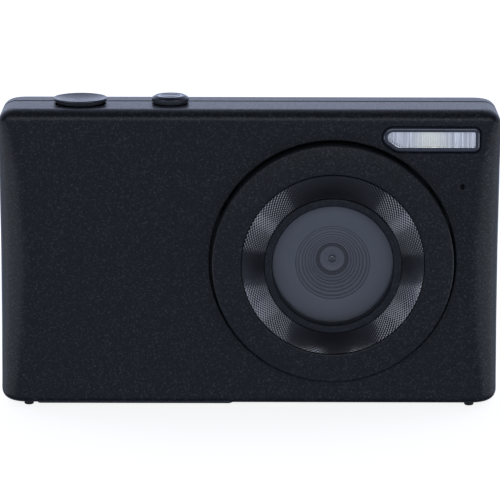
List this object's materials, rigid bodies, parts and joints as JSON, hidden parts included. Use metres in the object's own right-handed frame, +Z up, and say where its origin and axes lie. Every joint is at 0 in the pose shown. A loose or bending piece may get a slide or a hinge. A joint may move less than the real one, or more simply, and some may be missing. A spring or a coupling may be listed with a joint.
{
  "type": "compact digital camera",
  "caption": "Pocket digital camera with a fixed ringed lens, shutter and power buttons, flash window, rear display and keys, and a sliding battery door",
  "frame": {"origin": "Centre of the bounding box in X and Y, at the bottom of the feet", "axes": "The lens looks along -Y. +X is to the right of a person who faces the lens. +Z is up."},
  "size_m": [0.095, 0.0206, 0.0593],
  "materials": {
    "body_paint": "matt black paint with fine metallic flecks",
    "knurled_metal": "black anodised, fine diamond knurl",
    "lip_black": "satin black",
    "clear_glass": "clear",
    "baffle_grey": "dark grey, semi matt",
    "barrel_black": "matt black",
    "sensor_face": "glossy",
    "flash_lens": "clear with vertical ribs on its back",
    "reflector_chrome": "bright",
    "led_white": "white board with a yellow emitter",
    "button_metal": "polished dark metal",
    "light_ring": "milky light guide",
    "key_black": "satin black",
    "screen_glass": "black glass",
    "screen_panel": "display cell",
    "sheet_metal": "stamped sheet",
    "screw_steel": "dark plated",
    "socket_brass": "machined",
    "contact_gold": "gold plated",
    "rubber_black": "matt",
    "inner_plastic": "moulded black",
    "board_green": "solder mask",
    "battery_grey": "moulded case",
    "latch_orange": "moulded",
    "card_blue": "moulded"
  },
  "bodies": {
    "camera": {"front_cover": "body_paint", "rear_cover": "body_paint", "chassis": "sheet_metal", "case_screws": "screw_steel", "inner_screws": "screw_steel", "rubber_feet": "rubber_black", "strap_pin": "screw_steel", "tripod_nut": "socket_brass", "lens_bezel": "body_paint", "lens_trim_ring": "knurled_metal", "lens_lip_ring": "lip_black", "lens_window": "clear_glass", "lens_baffle": "baffle_grey", "lens_barrel": "barrel_black", "front_lens": "clear_glass", "aperture_ring": "barrel_black", "rear_lens": "clear_glass", "lens_holder": "inner_plastic", "ir_filter": "clear_glass", "image_sensor": "sensor_face", "sensor_board": "board_green", "flash_window": "flash_lens", "flash_reflector": "reflector_chrome", "flash_led_board": "led_white", "microphone": "sheet_metal", "speaker": "inner_plastic", "shutter_spring": "screw_steel", "button_bracket": "inner_plastic", "tact_switches": "inner_plastic", "top_board": "board_green", "main_board": "board_green", "usb_port": "sheet_metal", "key_board": "board_green", "key_domes": "sheet_metal", "lcd_window": "screen_glass", "lcd_panel": "screen_panel", "lcd_backlight": "sheet_metal", "battery": "battery_grey", "battery_box": "inner_plastic", "battery_contacts": "contact_gold", "door_hinge_pin": "screw_steel", "memory_card": "card_blue", "card_socket": "sheet_metal", "status_light_pipe": "light_ring"},
    "shutter": {"shutter_button": "button_metal"},
    "power": {"power_button": "button_metal", "power_light_ring": "light_ring"},
    "zoom": {"zoom_rocker": "key_black"},
    "latch": {"battery_latch": "latch_orange"},
    "door_carrier": {"door_hinge_plate": "sheet_metal"},
    "door": {"battery_door": "body_paint"},
    "mode": {"mode_key": "key_black"},
    "playback": {"playback_key": "key_black"},
    "menu": {"menu_key": "key_black"},
    "delete": {"delete_key": "key_black"},
    "up": {"up_key": "key_black"},
    "down": {"down_key": "key_black"},
    "left": {"left_key": "key_black"},
    "right": {"right_key": "key_black"},
    "ok": {"ok_key": "key_black"}
  },
  "joints": [
    {"name": "shutter_press", "type": "slide", "parent": "camera", "child": "shutter", "axis": [0, 0, -1], "range_m": [0, 0.0006], "stiffness_N_per_m": 900, "springref_m": -0.0003, "deforming": ["shutter_spring"]},
    {"name": "power_press", "type": "slide", "parent": "camera", "child": "power", "axis": [0, 0, -1], "range_m": [0, 0.0004], "stiffness_N_per_m": 1200, "springref_m": -0.0003},
    {"name": "zoom_tilt", "type": "hinge", "parent": "camera", "child": "zoom", "pos_m": [-0.031, 0.0078, 0.0504], "axis": [0, 0, 1], "range_deg": [-3, 3], "stiffness_Nm_per_rad": 0.06},
    {"name": "mode_press", "type": "slide", "parent": "camera", "child": "mode", "axis": [0, -1, 0], "range_m": [0, 0.0003], "stiffness_N_per_m": 1500, "springref_m": -0.0003},
    {"name": "playback_press", "type": "slide", "parent": "camera", "child": "playback", "axis": [0, -1, 0], "range_m": [0, 0.0003], "stiffness_N_per_m": 1500, "springref_m": -0.0003},
    {"name": "menu_press", "type": "slide", "parent": "camera", "child": "menu", "axis": [0, -1, 0], "range_m": [0, 0.0003], "stiffness_N_per_m": 1500, "springref_m": -0.0003},
    {"name": "delete_press", "type": "slide", "parent": "camera", "child": "delete", "axis": [0, -1, 0], "range_m": [0, 0.0003], "stiffness_N_per_m": 1500, "springref_m": -0.0003},
    {"name": "up_press", "type": "slide", "parent": "camera", "child": "up", "axis": [0, -1, 0], "range_m": [0, 0.0003], "stiffness_N_per_m": 1500, "springref_m": -0.0003},
    {"name": "down_press", "type": "slide", "parent": "camera", "child": "down", "axis": [0, -1, 0], "range_m": [0, 0.0003], "stiffness_N_per_m": 1500, "springref_m": -0.0003},
    {"name": "left_press", "type": "slide", "parent": "camera", "child": "left", "axis": [0, -1, 0], "range_m": [0, 0.0003], "stiffness_N_per_m": 1500, "springref_m": -0.0003},
    {"name": "right_press", "type": "slide", "parent": "camera", "child": "right", "axis": [0, -1, 0], "range_m": [0, 0.0003], "stiffness_N_per_m": 1500, "springref_m": -0.0003},
    {"name": "ok_press", "type": "slide", "parent": "camera", "child": "ok", "axis": [0, -1, 0], "range_m": [0, 0.0003], "stiffness_N_per_m": 1500, "springref_m": -0.0003},
    {"name": "battery_latch_slide", "type": "slide", "parent": "camera", "child": "latch", "axis": [1, 0, 0], "range_m": [0, 0.0015], "stiffness_N_per_m": 250, "springref_m": -0.0004},
    {"name": "door_hinge", "type": "hinge", "parent": "camera", "child": "door_carrier", "pos_m": [-0.0394, 0.0004, 0.00145], "axis": [0, 1, 0], "range_deg": [0, 95]},
    {"name": "door_slide", "type": "slide", "parent": "door_carrier", "child": "door", "axis": [1, 0, 0], "range_m": [0, 0.0015]}
  ]
}
